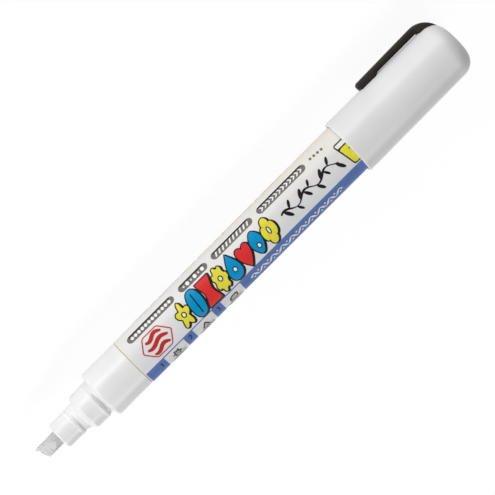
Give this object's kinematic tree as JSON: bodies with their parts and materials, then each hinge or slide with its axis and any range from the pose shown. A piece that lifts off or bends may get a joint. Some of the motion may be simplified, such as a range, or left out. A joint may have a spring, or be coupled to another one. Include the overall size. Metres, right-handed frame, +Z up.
{
  "type": "paint marker",
  "caption": "Pump-action paint marker with a chisel nib in a stepped white front, a printed barrel and a rounded cap with a clip, posted on the tail.",
  "frame": {"origin": "middle of the flat closed end of the cap, on the marker's axis", "axes": "+X along the marker's axis from the cap's closed end to the nib, +Z up from the surface that the marker lies on, with its clip touching that surface on the -Y side; the front of the label faces -Y and up"},
  "size_m": [0.1637, 0.019, 0.0184],
  "materials": {
    "cap_plastic": "satin moulded",
    "front_plastic": "satin moulded",
    "core_plastic": "natural moulded",
    "tank_plastic": "satin moulded, cream",
    "clip_plastic": "satin black",
    "label_film": "printed film",
    "nib_felt": "pressed fibre",
    "seal_rubber": "matt",
    "steel": "bright"
  },
  "bodies": {
    "barrel": {"barrel_tube": "tank_plastic", "barrel_label": "label_film", "tail_plug": "core_plastic", "front_collar": "front_plastic", "nib_holder": "front_plastic", "nib_liner": "core_plastic", "valve_seat": "seal_rubber", "valve_case": "core_plastic", "valve_spring": "steel"},
    "writing_tip": {"nib": "nib_felt", "valve_rod": "core_plastic"},
    "cap": {"cap_shell": "cap_plastic", "inner_cap": "core_plastic", "clip_root": "clip_plastic"},
    "clip": {"clip_arm": "clip_plastic"},
    "ball_1": {"mixing_ball_1": "steel"},
    "ball_2": {"mixing_ball_2": "steel"}
  },
  "joints": [
    {"name": "cap_slide", "type": "slide", "parent": "barrel", "child": "cap", "axis": [-1, 0, 0], "range_m": [0, 0.03]},
    {"name": "nib_press", "type": "slide", "parent": "barrel", "child": "writing_tip", "axis": [-1, 0, 0], "range_m": [0, 0.002], "stiffness_N_per_m": 300, "springref_m": -0.003, "deforming": ["valve_spring"]},
    {"name": "clip_flex", "type": "hinge", "parent": "cap", "child": "clip", "pos_m": [0.0084, -0.00757, -0.00684], "axis": [0, 0.6704, -0.742], "range_deg": [0, 7], "stiffness_Nm_per_rad": 0.3},
    {"name": "ball_1_run", "type": "slide", "parent": "barrel", "child": "ball_1", "axis": [1, 0, 0], "range_m": [-0.0205, 0.001]},
    {"name": "ball_2_run", "type": "slide", "parent": "barrel", "child": "ball_2", "axis": [1, 0, 0], "range_m": [-0.001, 0.04]}
  ]
}
